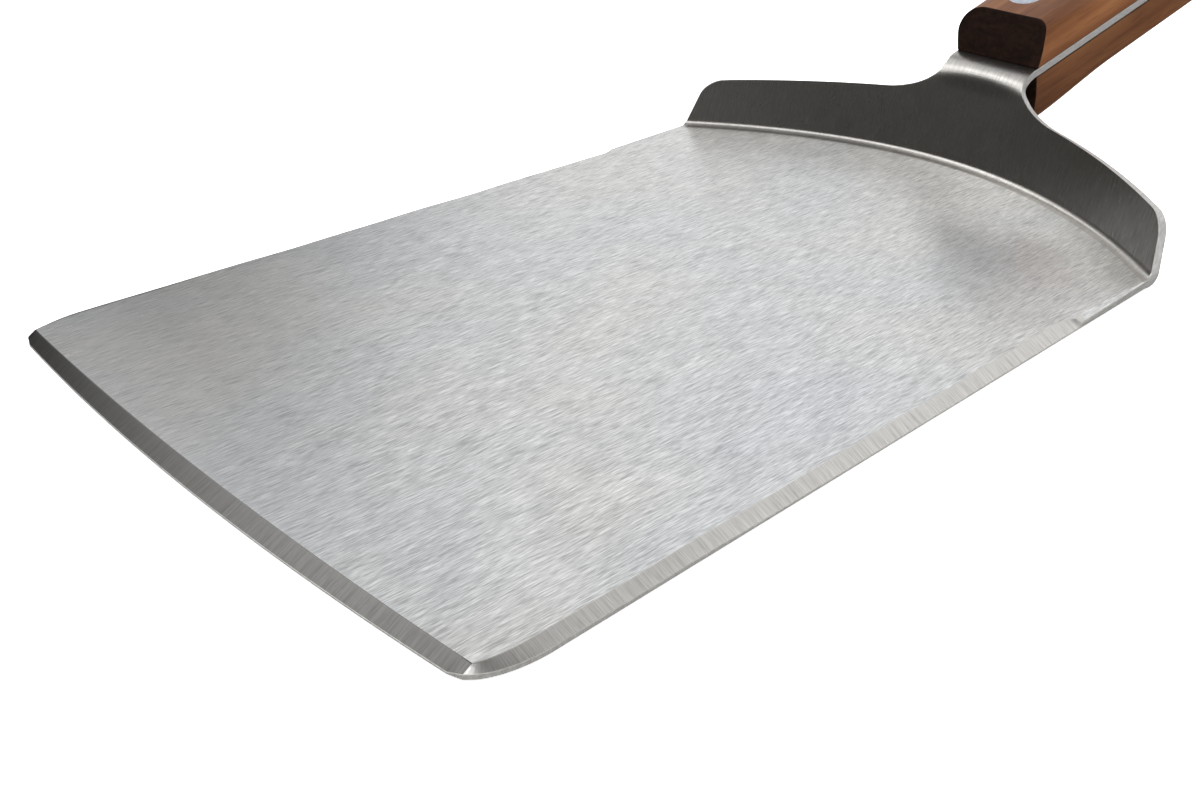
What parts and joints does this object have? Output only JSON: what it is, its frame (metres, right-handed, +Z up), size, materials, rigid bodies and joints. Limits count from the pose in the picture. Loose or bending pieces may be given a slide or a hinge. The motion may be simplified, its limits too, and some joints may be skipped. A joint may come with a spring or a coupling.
{
  "type": "grill spatula",
  "caption": "Wide steel grill spatula with a ground front edge, an upturned rear flange, a cranked neck and a riveted wooden handle.",
  "frame": {"origin": "on the surface the blade lies on, below the middle of the bounding box", "axes": "+Y from the blade's front edge to the butt of the handle, +Z up, X across the blade; the part is mirror-symmetric about the YZ plane"},
  "size_m": [0.1532, 0.38, 0.0668],
  "materials": {
    "blade_steel": "brushed along the blade, ground bevels",
    "handle_wood": "oiled, straight grain along the handle",
    "rivet_metal": "satin, ground flush with the wood"
  },
  "bodies": {
    "root": {"blade_and_tang": "blade_steel", "upper_scale": "handle_wood", "lower_scale": "handle_wood", "rivet_front_male": "rivet_metal", "rivet_front_female": "rivet_metal", "rivet_middle_male": "rivet_metal", "rivet_middle_female": "rivet_metal", "rivet_rear_male": "rivet_metal", "rivet_rear_female": "rivet_metal"}
  },
  "joints": []
}
